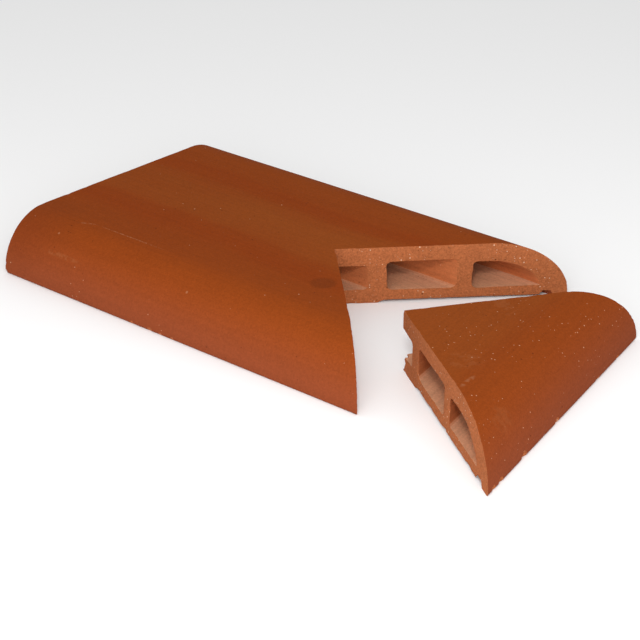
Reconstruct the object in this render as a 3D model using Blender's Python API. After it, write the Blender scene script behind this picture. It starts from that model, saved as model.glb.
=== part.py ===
"""Rounded wall coping: a hollow extruded clay length and the mitred piece that closes its end.

The length lies along X with its square end at the low side and a V notch at the other. The end
piece lies just in front of the notch, its rounded nose facing away. Both have the same section.
"""
import math

import bmesh
import bpy
from mathutils import Vector

MM = 0.001

# Section, shared by both pieces
WIDTH = 350 * MM
HEIGHT = 63 * MM
NOSE_RADIUS = 60 * MM
LIP_RADIUS = 3 * MM
TOP_WALL = 16.5 * MM
NOSE_WALL = 20 * MM

# Underside: the bedding keel in the middle and a drip groove behind each lip
KEEL_DEPTH = 3 * MM
KEEL_HALF_WIDTH = 29 * MM
KEEL_CHAMFER = 5 * MM
BED_FALL = 0.5 * MM
LIP_WIDTH = 13.5 * MM
LIP_SLOPE = 2.5 * MM
GROOVE_WIDTH = 6 * MM
GROOVE_DEPTH = 4 * MM

# Cells, as distances from the middle of the section
MIDDLE_CELL_HALF = 21.3 * MM
INNER_WEB = 14.4 * MM
SIDE_CELL = 53 * MM
OUTER_WEB = 12.3 * MM
MIDDLE_FLOOR = 15.5 * MM
SIDE_FLOOR = 14.7 * MM
NOSE_FLOOR = 13.3 * MM
CELL_CORNER = 4 * MM
NOSE_CELL_TIP_RADIUS = 1.5 * MM

# The length and its notch
LENGTH = 490 * MM
NOTCH_DEPTH = 171 * MM
NOTCH_OFFSET = -3.5 * MM

# The end piece: its two mitres meet on the middle of the section
END_LONG_HALF = 178.5 * MM
END_SHORT_HALF = 175 * MM
END_PLACE = Vector((461 * MM, -72 * MM))
END_TURN = math.radians(-79.2)

NOSE_STEPS = 28
LIP_STEPS = 4
CORNER_STEPS = 4
CUTTER_OVERRUN = 40 * MM

CLAY_COLOUR = (0.42, 0.135, 0.045, 1.0)
END_CLAY_COLOUR = (0.45, 0.15, 0.05, 1.0)
CLAY_ROUGHNESS = 0.85


def clear_scene():
    for item in list(bpy.data.objects):
        bpy.data.objects.remove(item)


def new_collection(name):
    collection = bpy.data.collections.new(name)
    bpy.context.scene.collection.children.link(collection)
    return collection


def clay_material(name, colour):
    material = bpy.data.materials.new(name)
    material.use_nodes = True
    shader = material.node_tree.nodes["Principled BSDF"]
    shader.inputs["Base Color"].default_value = colour
    shader.inputs["Roughness"].default_value = CLAY_ROUGHNESS
    shader.inputs["Metallic"].default_value = 0.0
    return material


def arc(centre, radius, first, last, steps):
    """Points on a circle from one angle to another, in degrees, ends included."""
    points = []
    for step in range(steps + 1):
        angle = math.radians(first + (last - first) * step / steps)
        points.append((centre[0] + radius * math.cos(angle), centre[1] + radius * math.sin(angle)))
    return points


def both_sides(half):
    """Close a right-hand half outline with its mirror image across the middle."""
    return half + [(-across, up) for across, up in reversed(half)]


def outer_outline():
    """The section's outside, from the keel round the lip and the nose to the flat top."""
    half_width = WIDTH / 2
    bed = KEEL_DEPTH
    lip_inner = half_width - LIP_WIDTH
    groove_outer = lip_inner + LIP_SLOPE
    groove_top = bed + GROOVE_DEPTH
    nose_middle = (half_width - NOSE_RADIUS, HEIGHT - NOSE_RADIUS)
    half = [
        (KEEL_HALF_WIDTH, 0),
        (KEEL_HALF_WIDTH + KEEL_CHAMFER, bed),
        (lip_inner - GROOVE_WIDTH - LIP_SLOPE, bed - BED_FALL),
        (lip_inner - GROOVE_WIDTH, groove_top),
        (lip_inner, groove_top - BED_FALL),
        (groove_outer, 0),
    ]
    half += arc((half_width - LIP_RADIUS, LIP_RADIUS), LIP_RADIUS, -90, 0, LIP_STEPS)[:-1]
    half += arc(nose_middle, NOSE_RADIUS, 0, 90, NOSE_STEPS)
    return both_sides(half)


def box_cell(left, right, floor, ceiling):
    """A four-sided cell with rounded corners."""
    radius = CELL_CORNER
    outline = []
    outline += arc((left + radius, floor + radius), radius, 180, 270, CORNER_STEPS)
    outline += arc((right - radius, floor + radius), radius, 270, 360, CORNER_STEPS)
    outline += arc((right - radius, ceiling - radius), radius, 0, 90, CORNER_STEPS)
    outline += arc((left + radius, ceiling - radius), radius, 90, 180, CORNER_STEPS)
    return outline


def nose_cell(left, floor):
    """The outermost cell: its ceiling follows the nose down to a tip on the floor."""
    middle = (WIDTH / 2 - NOSE_RADIUS, HEIGHT - NOSE_RADIUS)
    reach = NOSE_RADIUS - NOSE_WALL
    ceiling = middle[1] + reach
    tip_up = floor + NOSE_CELL_TIP_RADIUS
    tip_reach = reach - NOSE_CELL_TIP_RADIUS
    tip_across = middle[0] + math.sqrt(tip_reach ** 2 - (tip_up - middle[1]) ** 2)
    tip_angle = math.degrees(math.atan2(tip_up - middle[1], tip_across - middle[0]))
    corner = CELL_CORNER
    outline = []
    outline += arc((left + corner, floor + corner), corner, 180, 270, CORNER_STEPS)
    outline += arc((tip_across, tip_up), NOSE_CELL_TIP_RADIUS, -90, tip_angle, CORNER_STEPS)
    outline += arc(middle, reach, tip_angle, 90, NOSE_STEPS // 2)[1:]
    outline += arc((left + corner, ceiling - corner), corner, 90, 180, CORNER_STEPS)
    return outline


def cell_outlines():
    """The five cells, the two side pairs mirrored."""
    ceiling = HEIGHT - TOP_WALL
    side_left = MIDDLE_CELL_HALF + INNER_WEB
    side_right = side_left + SIDE_CELL
    cells = [box_cell(-MIDDLE_CELL_HALF, MIDDLE_CELL_HALF, MIDDLE_FLOOR, ceiling)]
    for outline in (box_cell(side_left, side_right, SIDE_FLOOR, ceiling),
                    nose_cell(side_right + OUTER_WEB, NOSE_FLOOR)):
        cells.append(outline)
        cells.append([(-across, up) for across, up in outline])
    return cells


def flat_curve(name, outlines, thickness):
    """A 2D curve of closed outlines, filled on both sides and given a thickness."""
    curve = bpy.data.curves.new(name, "CURVE")
    curve.dimensions = "2D"
    curve.fill_mode = "BOTH"
    curve.extrude = thickness / 2
    for outline in outlines:
        spline = curve.splines.new("POLY")
        spline.points.add(len(outline) - 1)
        for point, (across, up) in zip(spline.points, outline):
            point.co = (across, up, 0, 1)
        spline.use_cyclic_u = True
    return bpy.data.objects.new(name, curve)


def curve_to_mesh(curve_object, collection):
    """Turn a curve object into a closed mesh object in the same place."""
    bpy.context.scene.collection.objects.link(curve_object)
    bpy.context.view_layer.update()
    depsgraph = bpy.context.evaluated_depsgraph_get()
    mesh = bpy.data.meshes.new_from_object(curve_object.evaluated_get(depsgraph))
    work = bmesh.new()
    work.from_mesh(mesh)
    bmesh.ops.remove_doubles(work, verts=work.verts, dist=0.01 * MM)
    bmesh.ops.dissolve_limit(work, angle_limit=math.radians(0.1), verts=work.verts, edges=work.edges)
    bmesh.ops.recalc_face_normals(work, faces=work.faces)
    work.to_mesh(mesh)
    work.free()
    name = curve_object.name
    matrix = curve_object.matrix_world.copy()
    bpy.data.objects.remove(curve_object)
    solid = bpy.data.objects.new(name, mesh)
    solid.matrix_world = matrix
    collection.objects.link(solid)
    return solid


def extruded(name, outlines, start, end, collection):
    """Outlines of the section pressed out along X from one place to another."""
    solid = curve_to_mesh(flat_curve(name, outlines, end - start), collection)
    for vertex in solid.data.vertices:
        across, up, along = vertex.co
        vertex.co = (along + (start + end) / 2, across, up)
    solid.data.update()
    return solid


def mark_as_cutter(solid):
    solid.hide_render = True
    solid.display_type = "WIRE"


def wedge(name, apex, first, second, collection):
    """A tall closed wedge, its edge at the apex and its sides through two points."""
    height = HEIGHT + 2 * CUTTER_OVERRUN
    outline = [apex]
    for side in (first, second):
        run = Vector(side) - Vector(apex)
        far_end = Vector(side) + run.normalized() * 2 * CUTTER_OVERRUN
        outline.append((far_end.x, far_end.y))
    curve_object = flat_curve(name, [outline], height)
    curve_object.location.z = HEIGHT / 2
    solid = curve_to_mesh(curve_object, collection)
    mark_as_cutter(solid)
    return solid


def cut_with(piece, cutter, operation):
    boolean = piece.modifiers.new(cutter.name, "BOOLEAN")
    boolean.operation = operation
    boolean.solver = "EXACT"
    boolean.object = cutter


def hollow_section(name, start, end, parts, cutters):
    """A run of the clay section with its five cells right through it."""
    piece = extruded(name, [outer_outline()], start, end, parts)
    before = start - CUTTER_OVERRUN
    after = end + CUTTER_OVERRUN
    cells = extruded(name + "_cells", cell_outlines(), before, after, cutters)
    mark_as_cutter(cells)
    cut_with(piece, cells, "DIFFERENCE")
    return piece, cells


def finish(piece, material):
    piece.data.materials.append(material)
    piece.data.shade_smooth()
    piece.data.set_sharp_from_angle(angle=math.radians(25))


def make_length(parts, cutters):
    """The main length, square at one end and notched to a point on its middle at the other."""
    piece, cells = hollow_section("coping_length", 0, LENGTH, parts, cutters)
    apex = (LENGTH - NOTCH_DEPTH, NOTCH_OFFSET)
    near_tip = (LENGTH, -WIDTH / 2)
    far_tip = (LENGTH, WIDTH / 2)
    notch = wedge("notch_cutter", apex, near_tip, far_tip, cutters)
    cut_with(piece, notch, "DIFFERENCE")
    finish(piece, clay_material("clay", CLAY_COLOUR))
    return [piece, cells, notch]


def make_end_piece(parts, cutters):
    """The triangular end: half the section, mitred both ways, so its nose is the long side."""
    start = -END_SHORT_HALF - CUTTER_OVERRUN
    end = END_LONG_HALF + CUTTER_OVERRUN
    piece, cells = hollow_section("end_piece", start, end, parts, cutters)
    nose = WIDTH / 2
    keep = wedge("end_cutter", (0, 0), (END_LONG_HALF, nose), (-END_SHORT_HALF, nose), cutters)
    cut_with(piece, keep, "INTERSECT")
    finish(piece, clay_material("end_clay", END_CLAY_COLOUR))
    made = [piece, cells, keep]
    for item in made:
        item.location.x = END_PLACE.x
        item.location.y = END_PLACE.y
        item.rotation_euler.z = END_TURN
    return made


def centre_on_origin(items):
    """Put the middle of the pair's ground plan at the origin."""
    turned = Vector((math.cos(END_TURN), math.sin(END_TURN)))
    nose_way = Vector((-turned.y, turned.x))
    near_tip = END_PLACE + turned * END_LONG_HALF + nose_way * WIDTH / 2
    low = Vector((0, near_tip.y))
    high = Vector((near_tip.x, WIDTH / 2))
    middle = (low + high) / 2
    for item in items:
        item.location.x -= middle.x
        item.location.y -= middle.y


clear_scene()
parts_collection = new_collection("rounded_wall_coping")
cutter_collection = new_collection("cutters")
pieces = make_length(parts_collection, cutter_collection)
pieces += make_end_piece(parts_collection, cutter_collection)
centre_on_origin(pieces)
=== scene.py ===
import math

import bmesh
import bpy
from mathutils import Matrix, Quaternion, Vector, noise
from mathutils.bvhtree import BVHTree


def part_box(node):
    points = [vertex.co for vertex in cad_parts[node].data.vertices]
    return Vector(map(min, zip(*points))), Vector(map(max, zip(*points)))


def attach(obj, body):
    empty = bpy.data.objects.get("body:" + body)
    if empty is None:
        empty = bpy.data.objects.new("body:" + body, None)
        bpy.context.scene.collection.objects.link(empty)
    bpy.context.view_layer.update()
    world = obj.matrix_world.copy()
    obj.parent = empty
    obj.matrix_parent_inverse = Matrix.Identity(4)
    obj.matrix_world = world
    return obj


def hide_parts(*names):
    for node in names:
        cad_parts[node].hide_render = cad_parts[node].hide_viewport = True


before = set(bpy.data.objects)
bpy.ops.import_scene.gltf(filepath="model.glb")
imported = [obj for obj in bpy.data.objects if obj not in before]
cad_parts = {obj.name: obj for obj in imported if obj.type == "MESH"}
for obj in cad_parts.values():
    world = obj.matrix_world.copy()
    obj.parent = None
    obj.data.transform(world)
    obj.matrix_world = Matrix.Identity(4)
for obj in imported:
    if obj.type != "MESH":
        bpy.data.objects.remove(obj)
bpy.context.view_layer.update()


# The raw run. Both pieces start as the same hollow run of wet clay pushed out through a die:
# flat on top, round-nosed along both sides, with a bedding keel and two drip grooves beneath.
# It is made lying along X, centred on the origin, and longer than either piece.
RUN_LENGTH = 0.53
WIDTH = 0.350
HEIGHT = 0.063
NOSE_RADIUS = 0.060
NOSE_FACETS = 22
LIP_RADIUS = 0.003
KEEL_HALF_WIDTH = 0.029
ROW = 0.0075


def take_up(piece):
    """Deselect all else and make this the active piece."""
    bpy.ops.object.select_all(action="DESELECT")
    piece.select_set(True)
    bpy.context.view_layer.objects.active = piece


def middle(item):
    """The middle of an edge or a face."""
    return sum((corner.co for corner in item.verts), Vector()) / len(item.verts)


def pick(piece, kind, wanted):
    """In edit mode, select only the wanted vertices, edges or faces."""
    bpy.ops.mesh.select_mode(type=kind)
    bpy.ops.mesh.select_all(action="DESELECT")
    work = bmesh.from_edit_mesh(piece.data)
    for item in {"VERT": work.verts, "EDGE": work.edges, "FACE": work.faces}[kind]:
        if wanted(item):
            item.select_set(True)
    work.select_flush_mode()
    bmesh.update_edit_mesh(piece.data)


def runs_along(edge, axis, least=0.0):
    """True for an edge parallel to X (0), Y (1) or Z (2) and at least so long."""
    reach = edge.verts[1].co - edge.verts[0].co
    return abs(reach[axis]) > max(0.999 * reach.length, least)


def block(name, low, high):
    """A cube primitive brought to the given corners, left in edit mode."""
    low, high = Vector(low), Vector(high)
    bpy.ops.object.select_all(action="DESELECT")
    bpy.ops.mesh.primitive_cube_add(size=1, location=(low + high) / 2, scale=high - low)
    piece = bpy.context.object
    piece.name = name
    bpy.ops.object.transform_apply(location=True, rotation=True, scale=True)
    bpy.ops.object.mode_set(mode="EDIT")
    return piece


run = block("run", (-RUN_LENGTH / 2, -WIDTH / 2, 0), (RUN_LENGTH / 2, WIDTH / 2, HEIGHT))
pick(run, "EDGE", lambda edge: runs_along(edge, 0) and middle(edge).z > HEIGHT / 2)
bpy.ops.mesh.bevel(offset=NOSE_RADIUS, segments=NOSE_FACETS, affect="EDGES")
pick(run, "EDGE", lambda edge: runs_along(edge, 0) and middle(edge).z < 0.0001)
bpy.ops.mesh.bevel(offset=LIP_RADIUS, segments=3, affect="EDGES")
bpy.ops.mesh.select_all(action="SELECT")
bpy.ops.mesh.remove_doubles(threshold=0.0001)
bpy.ops.mesh.normals_make_consistent(inside=False)

# Heights of the long lines pressed into the underside, each by its distance from the middle
underside = {KEEL_HALF_WIDTH: 0.0, 0.034: 0.003, 0.153: 0.0025, 0.1555: 0.007, 0.1615: 0.0065,
             0.164: 0.0}
for across in underside:
    for side in (-1, 1):
        pick(run, "FACE", lambda face: face.normal.z < -0.9)
        bpy.ops.mesh.bisect(plane_co=(0, side * across, 0), plane_no=(0, 1, 0))
for across, lift in underside.items():
    if lift > 0:
        pick(run, "VERT", lambda v: v.co.z < 0.0001 and abs(abs(v.co.y) - across) < 0.0002)
        bpy.ops.transform.translate(value=(0, 0, lift))
pick(run, "EDGE", lambda edge: runs_along(edge, 0))
bpy.ops.mesh.subdivide(number_cuts=round(RUN_LENGTH / ROW) - 1)
pick(run, "EDGE", lambda edge: runs_along(edge, 1, 0.1) and abs(middle(edge).x) < RUN_LENGTH / 2 - 0.001)
bpy.ops.mesh.subdivide(number_cuts=27)
bpy.ops.object.mode_set(mode="OBJECT")


def clay_grain():
    """The one clay body: mottled and gritty, with clusters of pale grog specks, and pits darkened with
    painted shade.
    """
    group = bpy.data.node_groups.new("clay_grain", "ShaderNodeTree")
    kinds = {"Vector": "NodeSocketVector", "Clay": "NodeSocketColor", "Grog": "NodeSocketColor",
             "Specks": "NodeSocketFloat", "Pits": "NodeSocketFloat", "Mottling": "NodeSocketFloat",
             "Grit": "NodeSocketFloat"}
    for name, kind in kinds.items():
        group.interface.new_socket(name, in_out="INPUT", socket_type=kind)
    group.interface.new_socket("Colour", in_out="OUTPUT", socket_type="NodeSocketColor")
    group.interface.new_socket("Height", in_out="OUTPUT", socket_type="NodeSocketFloat")
    inside = group.nodes.new("NodeGroupInput").outputs
    nodes, links = group.nodes, group.links

    def sum_of(kind, one, other):
        """A math node's result from two sockets or numbers."""
        sum_node = nodes.new("ShaderNodeMath")
        sum_node.operation = kind
        for value, socket in zip((one, other), sum_node.inputs):
            if isinstance(value, (int, float)):
                socket.default_value = value
            else:
                links.new(value, socket)
        return sum_node.outputs[0]

    def grit(scale, detail):
        texture = nodes.new("ShaderNodeTexNoise")
        texture.inputs["Scale"].default_value = scale
        texture.inputs["Detail"].default_value = detail
        texture.inputs["Roughness"].default_value = 0.6
        links.new(inside["Vector"], texture.inputs["Vector"])
        return texture.outputs["Fac"]

    def weighed(value, low, high, start=0.3, stop=0.7):
        """Stretch a noise between its start and stop values to run from low to high."""
        stretch = nodes.new("ShaderNodeMapRange")
        for name, number in (("From Min", start), ("From Max", stop), ("To Min", low), ("To Max", high)):
            stretch.inputs[name].default_value = number
        links.new(value, stretch.inputs["Value"])
        return stretch.outputs["Result"]

    def grains(scale):
        """Cells the size of the grains, and a chance of 0 to 1 for each."""
        cells = nodes.new("ShaderNodeTexVoronoi")
        cells.inputs["Scale"].default_value = scale
        links.new(inside["Vector"], cells.inputs["Vector"])
        chance = nodes.new("ShaderNodeSeparateColor")
        links.new(cells.outputs["Color"], chance.inputs["Color"])
        return cells.outputs["Distance"], chance.outputs["Red"], chance.outputs["Green"]

    def spots(scale, size, share):
        """Scattered round spots: one to a cell, in only the given share of the cells."""
        distance, chance, swell = grains(scale)
        disc = nodes.new("ShaderNodeMapRange")
        disc.interpolation_type = "SMOOTHSTEP"
        disc.inputs["To Min"].default_value = 1.0
        disc.inputs["To Max"].default_value = 0.0
        links.new(distance, disc.inputs["Value"])
        links.new(sum_of("MULTIPLY", swell, size), disc.inputs["From Max"])
        return sum_of("MULTIPLY", disc.outputs["Result"], sum_of("LESS_THAN", chance, share))

    def blended(kind, amount, under, over):
        mix = nodes.new("ShaderNodeMix")
        mix.data_type = "RGBA"
        mix.blend_type = kind
        links.new(amount, mix.inputs["Factor"])
        links.new(under, mix.inputs["A"])
        if isinstance(over, tuple):
            mix.inputs["B"].default_value = over
        else:
            links.new(over, mix.inputs["B"])
        return mix.outputs["Result"]

    cloud = sum_of("MULTIPLY", weighed(grit(38, 5), 0, 1), inside["Mottling"])
    cluster = weighed(grit(17, 2), 0.25, 2.2, 0.42, 0.66)
    specks = spots(300, 0.30, sum_of("MULTIPLY", inside["Specks"], cluster))
    pits = spots(270, 0.36, inside["Pits"])
    fine = grit(560, 3)
    lumps = sum_of("ADD", grains(640)[1], weighed(fine, -0.4, 0.4))
    relief = sum_of("MULTIPLY", sum_of("SUBTRACT", lumps, 0.5), inside["Grit"])
    colour = blended("MULTIPLY", cloud, inside["Clay"], (0.70, 0.68, 0.66, 1))
    rough = nodes.new("ShaderNodeVectorMath")
    rough.operation = "SCALE"
    links.new(colour, rough.inputs[0])
    links.new(sum_of("ADD", relief, 1.0), rough.inputs["Scale"])
    colour = blended("MIX", specks, rough.outputs["Vector"], inside["Grog"])
    # Painted shade: the pits are darkened, as shade falls in the small holes
    colour = blended("MULTIPLY", pits, colour, (0.34, 0.30, 0.30, 1))
    outside = nodes.new("NodeGroupOutput").inputs
    links.new(colour, outside["Colour"])
    links.new(sum_of("SUBTRACT", fine, pits), outside["Height"])
    return group


grain_group = clay_grain()


def clay(name, tint, grog, specks, pits, mottling, grit, relief, place=(0, 0), turn=0.0):
    """A clay material whose patterns lie along the run, wherever the piece has been moved to."""
    material = bpy.data.materials.new(name)
    material.use_nodes = True
    nodes, links = material.node_tree.nodes, material.node_tree.links
    shader = nodes["Principled BSDF"]
    shader.inputs["Roughness"].default_value = 0.88
    shader.inputs["Specular IOR Level"].default_value = 0.05
    where = nodes.new("ShaderNodeTexCoord")
    lie = nodes.new("ShaderNodeMapping")
    lie.name = "Lie"
    lie.vector_type = "TEXTURE"
    lie.inputs["Location"].default_value = (*place, 0)
    lie.inputs["Rotation"].default_value = (0, 0, turn)
    links.new(where.outputs["Object"], lie.inputs["Vector"])
    grain = nodes.new("ShaderNodeGroup")
    grain.name = "Grain"
    grain.node_tree = grain_group
    grain.inputs["Clay"].default_value = (*tint, 1)
    grain.inputs["Grog"].default_value = (*grog, 1)
    grain.inputs["Specks"].default_value = specks
    grain.inputs["Pits"].default_value = pits
    grain.inputs["Mottling"].default_value = mottling
    grain.inputs["Grit"].default_value = grit
    links.new(lie.outputs["Vector"], grain.inputs["Vector"])
    links.new(grain.outputs["Colour"], shader.inputs["Base Color"])
    bump = nodes.new("ShaderNodeBump")
    bump.inputs["Distance"].default_value = relief
    links.new(grain.outputs["Height"], bump.inputs["Height"])
    links.new(bump.outputs["Normal"], shader.inputs["Normal"])
    return material


def tinted(material, under, over, mask, kind="MIX"):
    """Add a mix of two colours by a mask to a material, and return its result."""
    mix = material.node_tree.nodes.new("ShaderNodeMix")
    mix.data_type = "RGBA"
    mix.blend_type = kind
    material.node_tree.links.new(mask, mix.inputs["Factor"])
    for colour, socket in ((under, mix.inputs["A"]), (over, mix.inputs["B"])):
        if isinstance(colour, tuple):
            socket.default_value = (*colour, 1)
        else:
            material.node_tree.links.new(colour, socket)
    return mix.outputs["Result"]


def ramped(material, value, low, high, start=0.0, stop=1.0):
    """A smooth step of a value between low and high."""
    step = material.node_tree.nodes.new("ShaderNodeMapRange")
    step.interpolation_type = "SMOOTHSTEP"
    for name, number in (("From Min", low), ("From Max", high), ("To Min", start), ("To Max", stop)):
        step.inputs[name].default_value = number
    material.node_tree.links.new(value, step.inputs["Value"])
    return step.outputs["Result"]


def streaks(material, along, across, detail):
    """Noise drawn out along the run."""
    nodes, links = material.node_tree.nodes, material.node_tree.links
    stretch = nodes.new("ShaderNodeMapping")
    stretch.inputs["Scale"].default_value = (along, across, across)
    links.new(nodes["Lie"].outputs["Vector"], stretch.inputs["Vector"])
    texture = nodes.new("ShaderNodeTexNoise")
    texture.inputs["Scale"].default_value = 1
    texture.inputs["Detail"].default_value = detail
    links.new(stretch.outputs["Vector"], texture.inputs["Vector"])
    return texture.outputs["Fac"]


def skin(name, place=(0, 0), turn=0.0, bloom=((-0.175, 0.5), (0.175, 0.5)), specks=0.04):
    """The die-smoothed outside: red clay under a thin pale bloom, thicker along some bands.

    The bloom is given as (distance across the run, share) pairs, from one nose to the other.
    """
    material = clay(name, SKIN_TINT, SKIN_GROG, specks, 0.05, 0.12, 0.13, 0.0003, place, turn)
    nodes, links = material.node_tree.nodes, material.node_tree.links
    across = nodes.new("ShaderNodeSeparateXYZ")
    links.new(nodes["Lie"].outputs["Vector"], across.inputs["Vector"])
    sway = ramped(material, streaks(material, 6, 9, 3), 0.3, 0.7, -0.010, 0.010)
    swayed = nodes.new("ShaderNodeMath")
    links.new(across.outputs["Y"], swayed.inputs[0])
    links.new(sway, swayed.inputs[1])
    share = nodes.new("ShaderNodeMapRange")
    share.inputs["From Min"].default_value = -WIDTH / 2
    share.inputs["From Max"].default_value = WIDTH / 2
    links.new(swayed.outputs[0], share.inputs["Value"])
    bands = nodes.new("ShaderNodeValToRGB")
    bands.color_ramp.interpolation = "EASE"
    for number, (distance, level) in enumerate(bloom):
        where = distance / WIDTH + 0.5
        stops = bands.color_ramp.elements
        stop = stops[number] if number < 2 else stops.new(where)
        stop.position = where
        stop.color = (level, level, level, 1)
    links.new(share.outputs["Result"], bands.inputs["Fac"])
    thin = ramped(material, streaks(material, 3, 8, 4), 0.25, 0.6, 0.55, 1.0)
    film = nodes.new("ShaderNodeMath")
    film.operation = "MULTIPLY"
    links.new(bands.outputs["Color"], film.inputs[0])
    links.new(thin, film.inputs[1])
    colour = tinted(material, SKIN_TINT, BLOOM_TINT, film.outputs[0])
    # Painted reflection: the skin turns paler and bluer towards the bottom, as the pale floor reflects in
    # it
    low = ramped(material, across.outputs["Z"], 0.062, 0.004)
    colour = tinted(material, colour, PAINTED_FLOOR_REFLECTION_TINT, low)
    lines = ramped(material, streaks(material, 3, 260, 2), 0.35, 0.70, 0, 0.4)
    colour = tinted(material, colour, (0.88, 0.88, 0.88), lines, "MULTIPLY")
    links.new(colour, nodes["Grain"].inputs["Clay"])
    return material


def mark(material, tint, centre, reach, turn=0.0, strength=1.0, edge=0.5, broken=0.0):
    """Lay a round or drawn-out mark over a clay, its centre and reach in metres in the run.

    The edge is the share of the reach over which it fades, and broken the size of its gaps.
    """
    nodes, links = material.node_tree.nodes, material.node_tree.links
    spot = nodes.new("ShaderNodeMapping")
    spot.vector_type = "TEXTURE"
    spot.inputs["Location"].default_value = centre
    spot.inputs["Rotation"].default_value = (0, 0, turn)
    spot.inputs["Scale"].default_value = reach
    links.new(nodes["Lie"].outputs["Vector"], spot.inputs["Vector"])
    ball = nodes.new("ShaderNodeTexGradient")
    ball.gradient_type = "SPHERICAL"
    links.new(spot.outputs["Vector"], ball.inputs["Vector"])
    mask = ramped(material, ball.outputs["Fac"], 0.0, edge, 0.0, strength)
    if broken:
        crumbs = nodes.new("ShaderNodeTexNoise")
        crumbs.inputs["Scale"].default_value = 1 / broken
        crumbs.inputs["Detail"].default_value = 3
        links.new(nodes["Lie"].outputs["Vector"], crumbs.inputs["Vector"])
        gaps = nodes.new("ShaderNodeMath")
        gaps.operation = "MULTIPLY"
        links.new(mask, gaps.inputs[0])
        links.new(ramped(material, crumbs.outputs["Fac"], 0.42, 0.58), gaps.inputs[1])
        mask = gaps.outputs[0]
    under = nodes["Grain"].inputs["Clay"].links[0].from_socket
    links.new(tinted(material, under, tint, mask), nodes["Grain"].inputs["Clay"])


SKIN_TINT = (0.240, 0.0410, 0.0045)
BLOOM_TINT = (0.254, 0.0570, 0.0084)
# Painted reflection of the pale floor on the lower skin
PAINTED_FLOOR_REFLECTION_TINT = (0.232, 0.0515, 0.0180)
SKIN_GROG = (0.75, 0.46, 0.28)


# The cells. Rods held in the die leave five hollows right through the run. The walls between
# them are a little uneven, as wet clay is. Each hollow is made as a plug and cut out.
CELL_CEILING = 0.0465
MIDDLE_CEILING = 0.0430
CELL_CORNER = 0.004
TIP_CORNER = 0.0015
MIDDLE_CELL = 0.0213
SIDE_CELL = (0.0357, 0.0887)
NOSE_CELL = 0.101
NOSE_CELL_RADIUS = 0.040
MIDDLE_FLOOR = 0.0155
SIDE_FLOOR = 0.0147
NOSE_FLOOR = 0.0133
PLUG_LENGTH = RUN_LENGTH + 0.04


def round_corners(plug, tip=WIDTH):
    """Round the long corners of a plug that is in edit mode, those beyond the tip more tightly."""
    def corner(edge):
        return runs_along(edge, 0) and edge.calc_face_angle(0) > 0.7

    pick(plug, "EDGE", lambda edge: corner(edge) and middle(edge).y < tip)
    bpy.ops.mesh.bevel(offset=CELL_CORNER, segments=3, affect="EDGES")
    pick(plug, "EDGE", lambda edge: corner(edge) and middle(edge).y > tip)
    bpy.ops.mesh.bevel(offset=TIP_CORNER, segments=2, affect="EDGES")
    pick(plug, "EDGE", lambda edge: runs_along(edge, 0))
    bpy.ops.mesh.subdivide(number_cuts=80)
    bpy.ops.object.mode_set(mode="OBJECT")


def box_plug(name, left, right, floor, ceiling):
    plug = block(name, (-PLUG_LENGTH / 2, left, floor), (PLUG_LENGTH / 2, right, ceiling))
    round_corners(plug)
    return plug


def nose_plug(name):
    """A quarter rod under the nose, with a square part added on its inner side."""
    centre = (0, WIDTH / 2 - NOSE_RADIUS, HEIGHT - NOSE_RADIUS)
    bpy.ops.object.select_all(action="DESELECT")
    bpy.ops.mesh.primitive_cylinder_add(vertices=60, radius=NOSE_CELL_RADIUS, depth=PLUG_LENGTH,
                                        location=centre, rotation=(0, math.pi / 2, 0))
    plug = bpy.context.object
    plug.name = name
    bpy.ops.object.transform_apply(location=True, rotation=True, scale=True)
    bpy.ops.object.mode_set(mode="EDIT")
    for place, way in (((0, 0, NOSE_FLOOR), (0, 0, -1)), (centre, (0, -1, 0))):
        bpy.ops.mesh.select_all(action="SELECT")
        bpy.ops.mesh.bisect(plane_co=place, plane_no=way, use_fill=True, clear_outer=True)
    pick(plug, "FACE", lambda face: face.normal.y < -0.9)
    step_in = (0, NOSE_CELL - centre[1], 0)
    bpy.ops.mesh.extrude_region_move(TRANSFORM_OT_translate={"value": step_in})
    round_corners(plug, tip=centre[1])
    return plug


plugs = [box_plug("middle_plug", -MIDDLE_CELL, MIDDLE_CELL, MIDDLE_FLOOR, MIDDLE_CEILING)]
plugs.append(box_plug("side_plug", *SIDE_CELL, SIDE_FLOOR, CELL_CEILING))
plugs.append(nose_plug("nose_plug"))
for plug in plugs[1:]:
    take_up(plug)
    bpy.ops.object.duplicate()
    bpy.ops.transform.resize(value=(1, -1, 1), center_override=(0, 0, 0))
    bpy.ops.object.transform_apply(location=True, rotation=True, scale=True)
    bpy.ops.object.mode_set(mode="EDIT")
    bpy.ops.mesh.select_all(action="SELECT")
    bpy.ops.mesh.normals_make_consistent(inside=False)
    bpy.ops.object.mode_set(mode="OBJECT")
    plugs.append(bpy.context.object)
noise.seed_set(5)
for number, plug in enumerate(plugs):
    for corner in plug.data.vertices:
        place = Vector((corner.co.x * 14, corner.co.y * 40, corner.co.z * 40 + 7 * number))
        corner.co += 0.0007 * noise.noise_vector(place) * Vector((0, 1, 1))


def joined(pieces):
    """Make one object of several, under the first one's name."""
    take_up(pieces[0])
    for piece in pieces[1:]:
        piece.select_set(True)
    bpy.ops.object.join()
    return pieces[0]


def cut(piece, cutter, operation="DIFFERENCE"):
    """Cut a piece with a closed cutter, whose clay the new faces take, and remove the cutter."""
    for solid in (cutter, piece):
        take_up(solid)
        solid.modifiers.new("triangles", "TRIANGULATE").min_vertices = 4
        bpy.ops.object.modifier_apply(modifier="triangles")
    boolean = piece.modifiers.new("cut", "BOOLEAN")
    boolean.operation = operation
    boolean.solver = "EXACT"
    boolean.material_mode = "TRANSFER"
    boolean.object = cutter
    bpy.ops.object.modifier_apply(modifier=boolean.name)
    bpy.data.objects.remove(cutter)


CELL_TINT = (0.51, 0.155, 0.056)
CELL_GROG = (0.62, 0.34, 0.20)
CELL_DUST = (0.60, 0.290, 0.162)


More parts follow.
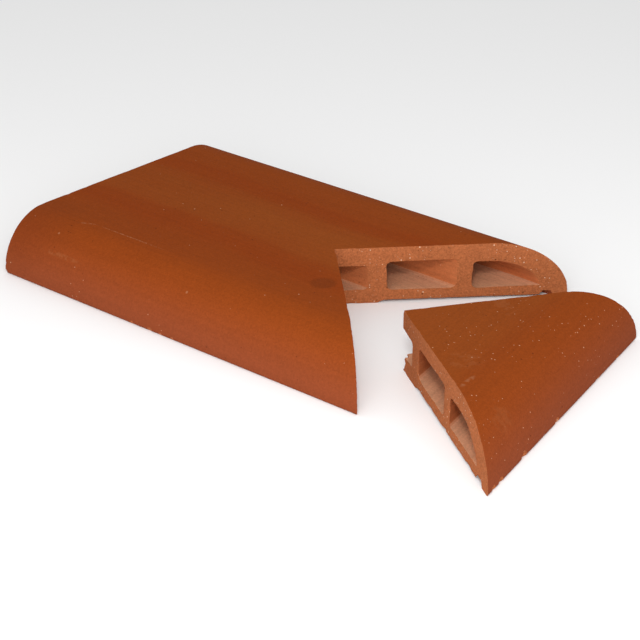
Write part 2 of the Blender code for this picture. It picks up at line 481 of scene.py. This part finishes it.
def cell_skin(name, place=(0, 0), turn=0.0):
    """The inside of the cells: plain clay, its floor under a layer of pale sawdust and grit."""
    material = clay(name, CELL_TINT, CELL_GROG, 0.08, 0.12, 0.4, 0.15, 0.0006, place, turn)
    nodes, links = material.node_tree.nodes, material.node_tree.links
    facing = nodes.new("ShaderNodeSeparateXYZ")
    around = nodes.new("ShaderNodeNewGeometry")
    links.new(around.outputs["True Normal"], facing.inputs["Vector"])
    dust = ramped(material, facing.outputs["Z"], 0.35, 0.95)
    colour = tinted(material, CELL_TINT, CELL_DUST, dust)
    lines = ramped(material, streaks(material, 6, 260, 3), 0.35, 0.70, 0, 0.6)
    colour = tinted(material, colour, (0.75, 0.75, 0.75), lines, "MULTIPLY")
    links.new(colour, nodes["Grain"].inputs["Clay"])
    return material


skin_clay = skin("clay_skin")
cell_clay = cell_skin("clay_cell")
run.data.materials.append(skin_clay)
plugs[0].data.materials.append(cell_clay)
cut(run, joined(plugs))


# The length. The run is wired off square at one end while it is soft. When it has been fired,
# two saw cuts meet near its middle and leave a V notch, for the end piece to fill.
length_low, length_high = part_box("coping_length")
NOTCH_DEPTH = 0.171
NOTCH_OFFSET = -0.0035
GRAIN = 0.0013
SAW_MARGIN = 0.035


def copy_of_run(name, seed):
    """A copy of the hollow run with its own gentle unevenness, always inwards."""
    take_up(run)
    bpy.ops.object.duplicate()
    piece = bpy.context.object
    piece.name = name
    inwards = [-corner.normal * Vector((0, 1, 1)) for corner in piece.data.vertices]
    for corner, inward in zip(piece.data.vertices, inwards):
        place = Vector((corner.co.x * 7, corner.co.y * 22, corner.co.z * 22 + seed))
        corner.co += inward * 0.0002 * (1 + noise.noise(place))
    return piece


def grid_over(cutter, facings):
    """In edit mode, divide the cutter's working faces into a grid as fine as the clay's grain."""
    def works(face):
        return any(face.normal.dot(facing) > 0.99 for facing in facings)

    for upright in (True, False):
        def wanted(edge):
            return runs_along(edge, 2) == upright and any(works(face) for face in edge.link_faces)

        pick(cutter, "EDGE", wanted)
        longest = max(e.calc_length() for e in bmesh.from_edit_mesh(cutter.data).edges if e.select)
        bpy.ops.mesh.subdivide(number_cuts=round(longest / GRAIN) - 1)
    bpy.ops.object.mode_set(mode="OBJECT")


def roughen(cutter, facing, push, clay, seed):
    """Push a working face into the clay: grain all over, and small breaks along every edge."""
    skin = BVHTree.FromObject(clay, bpy.context.evaluated_depsgraph_get())
    level = max(corner.co.dot(facing) for corner in cutter.data.vertices)
    for corner in cutter.data.vertices:
        if corner.co.dot(facing) < level - 0.0001:
            continue
        spot = corner.co + Vector((0, 0, seed))
        gap = skin.find_nearest(corner.co)[3]
        grain = 0.5 + 0.5 * noise.noise(spot * 700)
        wander = 0.5 + 0.5 * noise.noise(spot * 35)
        broken = max(0.0, noise.noise(spot * 90) + 0.6 * noise.noise(spot * 320) - 0.05)
        edge = max(0.0, 1 - gap / 0.0030) ** 1.5
        depth = 0.00025 * grain + 0.0004 * wander + edge * (0.0002 + 0.0016 * broken)
        corner.co += facing * push * depth


def wedge(name, apex, near, far):
    """A tall cutter whose two working sides meet at the apex and run out past near and far."""
    apex, near, far = Vector(apex), Vector(near), Vector(far)
    near += (near - apex).normalized() * SAW_MARGIN
    far += (far - apex).normalized() * SAW_MARGIN
    plan = {(-1, -1): apex, (1, -1): near, (1, 1): near + far - apex, (-1, 1): far}
    cutter = block(name, (-1, -1, -0.01), (1, 1, HEIGHT + 0.01))
    for (x, y), place in plan.items():
        pick(cutter, "EDGE", lambda edge: (middle(edge).xy - Vector((x, y))).length < 0.001)
        bpy.ops.transform.translate(value=(place.x - x, place.y - y, 0))
    near_way = Vector((near.y - apex.y, apex.x - near.x, 0)).normalized()
    far_way = Vector((apex.y - far.y, far.x - apex.x, 0)).normalized()
    bpy.ops.mesh.select_all(action="SELECT")
    bpy.ops.mesh.normals_make_consistent(inside=False)
    grid_over(cutter, (near_way, far_way))
    cutter.data.materials.append(sawn_clay)
    return cutter, near_way, far_way


SAWN_TINT = (0.362, 0.111, 0.040)
SAWN_GROG = (0.85, 0.66, 0.48)


def cut_face(name, place=(0, 0), turn=0.0):
    """A cut through the body: paler than the skin, gritty, with broken grog and small holes."""
    return clay(name, SAWN_TINT, SAWN_GROG, 0.85, 0.18, 0.25, 0.32, 0.0009, place, turn)


def reclad(piece, place, turn, bloom, specks):
    """Give a piece its own three clays, their patterns turned and moved with it."""
    piece.data.materials[0] = skin(f"{piece.name}_skin", place, turn, bloom, specks)
    piece.data.materials[1] = cell_skin(f"{piece.name}_cells", place, turn)
    piece.data.materials[2] = cut_face(f"{piece.name}_cut", place, turn)


sawn_clay = cut_face("clay_cut")
LENGTH_BLOOM = ((-0.175, 0.3), (-0.120, 0.35), (-0.090, 0.30), (-0.062, 0.0), (-0.048, 0.15),
                (-0.030, 0.8), (0.020, 1.0), (0.038, 0.7), (0.055, 0.15), (0.070, 0.05),
                (0.090, 0.35), (0.125, 0.5), (0.175, 0.5))
length_middle = (length_low.y + length_high.y) / 2
length_place = ((length_low.x + length_high.x) / 2, length_middle)
length = copy_of_run("coping_length_clay", 0)
bpy.ops.transform.translate(value=(*length_place, 0))
bpy.ops.object.transform_apply(location=True, rotation=True, scale=True)
notch_apex = (length_high.x - NOTCH_DEPTH, length_middle + NOTCH_OFFSET)
near_tip = (length_high.x, length_low.y)
far_tip = (length_high.x, length_high.y)
notch, near_way, far_way = wedge("notch", notch_apex, near_tip, far_tip)
roughen(notch, near_way, 1, length, 3)
roughen(notch, far_way, 1, length, 11)
low = (length_low.x - 0.05, length_low.y - 0.01, -0.01)
wire = block("wire", low, (length_low.x, length_high.y + 0.01, HEIGHT + 0.01))
grid_over(wire, [Vector((1, 0, 0))])
wire.data.materials.append(sawn_clay)
roughen(wire, Vector((1, 0, 0)), 1, length, 23)


def chips(spots, place=(0, 0), turn=0.0):
    """Rough balls for knocking chips off a piece, at (x, y, z, size) spots in its run."""
    lie = Matrix.Translation((*place, 0)) @ Matrix.Rotation(turn, 4, "Z")
    balls = []
    for number, (x, y, z, size) in enumerate(spots):
        bpy.ops.object.select_all(action="DESELECT")
        bpy.ops.mesh.primitive_ico_sphere_add(subdivisions=4, radius=size, location=lie @ Vector((x, y, z)))
        ball = bpy.context.object
        bpy.ops.object.transform_apply(location=True, rotation=True, scale=True)
        heart = lie @ Vector((x, y, z))
        for corner in ball.data.vertices:
            out = corner.co - heart
            bump = noise.noise(corner.co * 120 + Vector((number, 0, 0)))
            bump += 0.5 * noise.noise(corner.co * 420)
            corner.co = heart + out * (1 + 0.35 * bump)
        ball.data.materials.append(sawn_clay)
        balls.append(ball)
    return balls


# The length was also knocked along its near lower edge and at its near square corner
knocks = chips([(-0.246, -0.176, 0.001, 0.0045), (-0.053, -0.177, 0.001, 0.0035),
                (-0.027, -0.177, 0.001, 0.0040), (-0.012, -0.177, 0.001, 0.0035),
                (0.004, -0.177, 0.001, 0.0040)], length_place)
for cutter in (notch, wire, joined(knocks)):
    cut(length, cutter)


# The end piece. A shorter bit of the same run is sawn to a right-angled triangle: its nose is
# the long side, and its two mitres meet at the middle of the section. It lies a little turned.
END_HALVES = (0.175, 0.1785)
END_PLACE = (length_low.x + 0.461, length_middle - 0.072)
END_TURN = math.radians(-79.2)
END_BLOOM = ((-0.175, 0.6), (0.030, 1.0), (0.100, 0.8), (0.130, 0.4), (0.175, 0.3))
end = copy_of_run("end_piece_clay", 40)
bar, short_way, long_way = wedge("bar", (0, 0), (END_HALVES[1], WIDTH / 2), (-END_HALVES[0], WIDTH / 2))
roughen(bar, short_way, -1, end, 31)
roughen(bar, long_way, -1, end, 37)
cut(end, bar, "INTERSECT")
take_up(end)
bpy.ops.transform.rotate(value=-END_TURN, orient_axis="Z", center_override=(0, 0, 0))
bpy.ops.transform.translate(value=(*END_PLACE, 0))
bpy.ops.object.transform_apply(location=True, rotation=True, scale=True)
bpy.data.objects.remove(run)
# Its lower apex is broken back, and its base is knocked here and there along the nose
knocks = chips([(0, -0.0085, 0.010, 0.016), (0.026, 0.177, 0.002, 0.005),
                (0.101, 0.177, 0.003, 0.006), (0.151, 0.177, 0.002, 0.005),
                (0.166, 0.178, 0.002, 0.005), (-0.072, 0.177, 0.001, 0.004),
                (-0.124, 0.177, 0.001, 0.004)], END_PLACE, END_TURN)
cut(end, joined(knocks))


# Both pieces are finished alike: soft shading between the facets, sharp arrises at the cuts.
reclad(length, length_place, 0, LENGTH_BLOOM, 0.02)
reclad(end, END_PLACE, END_TURN, END_BLOOM, 0.20)

# Painted shade on the near left corner, where the light falls off, a handling smudge by the notch, pale
# scratches on the near nose, two rings
length_skin, end_skin = length.data.materials[0], end.data.materials[0]
# Painted shade: the skin is darkened towards the length's left end, where the light falls off
PAINTED_FALLOFF_SHADE = (0.175, 0.0320, 0.0070)
SMUDGE = (0.150, 0.030, 0.0045)
CHALK = (0.36, 0.150, 0.070)
HAZE = (0.30, 0.098, 0.034)
mark(length_skin, PAINTED_FALLOFF_SHADE, (-0.250, -0.150, 0.045), (0.11, 0.08, 0.06), strength=0.6, edge=0.9)
mark(length_skin, SMUDGE, (0.118, -0.075, 0.063), (0.016, 0.016, 0.02), strength=0.55, edge=0.4)
mark(length_skin, CHALK, (-0.106, -0.1193, 0.063), (0.056, 0.0011, 0.01), strength=0.55, broken=0.0016)
mark(length_skin, CHALK, (-0.168, -0.1225, 0.062), (0.014, 0.0012, 0.01), 0.35, 0.5, broken=0.0016)
mark(length_skin, HAZE, (-0.168, -0.1630, 0.039), (0.036, 0.0022, 0.01), strength=0.3, broken=0.004)
mark(length_skin, CHALK, (-0.187, -0.1468, 0.054), (0.0017, 0.0014, 0.01), strength=0.6)
mark(length_skin, CHALK, (0.008, -0.1550, 0.048), (0.0017, 0.0014, 0.01), strength=0.6)

# Pale rubs and dusty patches on the end piece
mark(end_skin, CHALK, (0.101, 0.1166, 0.063), (0.015, 0.0036, 0.01), -0.06, 0.45, broken=0.005)
mark(end_skin, HAZE, (0.066, 0.096, 0.063), (0.020, 0.022, 0.03), strength=0.22, broken=0.006)
mark(end_skin, HAZE, (0.117, 0.158, 0.045), (0.018, 0.012, 0.03), strength=0.18, broken=0.006)
mark(end_skin, HAZE, (-0.060, 0.078, 0.063), (0.030, 0.010, 0.03), 0.75, 0.25, broken=0.005)
for piece, node, slot in ((length, "coping_length", "clay"), (end, "end_piece", "end_clay")):
    take_up(piece)
    bpy.ops.object.shade_smooth_by_angle(angle=math.radians(32))
    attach(piece, "root")
    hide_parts(node)


# The setting. A pale matt sheet under soft light: an even white surround, and a large screen
# low on the camera's side, which makes the noses brighter than the flat tops.
bpy.ops.mesh.primitive_plane_add(size=14, location=(0, 0, 0))
floor = bpy.context.object
floor.name = "floor"
paper = bpy.data.materials.new("paper")
paper.use_nodes = True
paper.node_tree.nodes["Principled BSDF"].inputs["Base Color"].default_value = (0.96, 0.96, 0.96, 1)
paper.node_tree.nodes["Principled BSDF"].inputs["Roughness"].default_value = 1.0
paper.node_tree.nodes["Principled BSDF"].inputs["Specular IOR Level"].default_value = 0.0
floor.data.materials.append(paper)

surround = bpy.data.worlds.new("surround")
surround.use_nodes = True
surround.node_tree.nodes["Background"].inputs["Color"].default_value = (1.0, 1.0, 1.0, 1)
surround.node_tree.nodes["Background"].inputs["Strength"].default_value = 0.68
bpy.context.scene.world = surround

AZIMUTH = 0.69656
ELEVATION = 0.44891
ROLL = 0.00795
AIM = Vector((-0.00274, -0.00700, 0))
DISTANCE = 1.94618
back = Vector((math.sin(AZIMUTH) * math.cos(ELEVATION), -math.cos(AZIMUTH) * math.cos(ELEVATION),
               math.sin(ELEVATION)))

LIT_SPOT = Vector((0.15, -0.10, 0))


def lamp(name, azimuth, height, distance, size, energy):
    """A round soft light that shines on the pieces from the given azimuth and height in degrees."""
    azimuth, height = math.radians(azimuth), math.radians(height)
    way = Vector((math.sin(azimuth) * math.cos(height), -math.cos(azimuth) * math.cos(height),
                  math.sin(height)))
    bpy.ops.object.light_add(type="AREA", location=LIT_SPOT + way * distance)
    light = bpy.context.object
    light.name = name
    light.data.shape = "DISK"
    light.data.size = size
    light.data.energy = energy
    light.rotation_euler = way.to_track_quat("Z", "Y").to_euler()


lamp("key", 35, 45, 1.5, 0.20, 6)
lamp("fill", 36, 20, 2.2, 2.20, 51)

bpy.ops.object.camera_add(location=AIM + back * DISTANCE)
camera = bpy.context.object
camera.rotation_mode = "QUATERNION"
camera.rotation_quaternion = (-back).to_track_quat("-Z", "Y") @ Quaternion((0, 0, 1), ROLL)
camera.data.sensor_width = 36
camera.data.lens = 1890.844 / 640 * 36
camera.data.shift_x = -0.01411
camera.data.shift_y = -0.00767
bpy.context.scene.camera = camera
bpy.context.scene.view_settings.view_transform = "Standard"
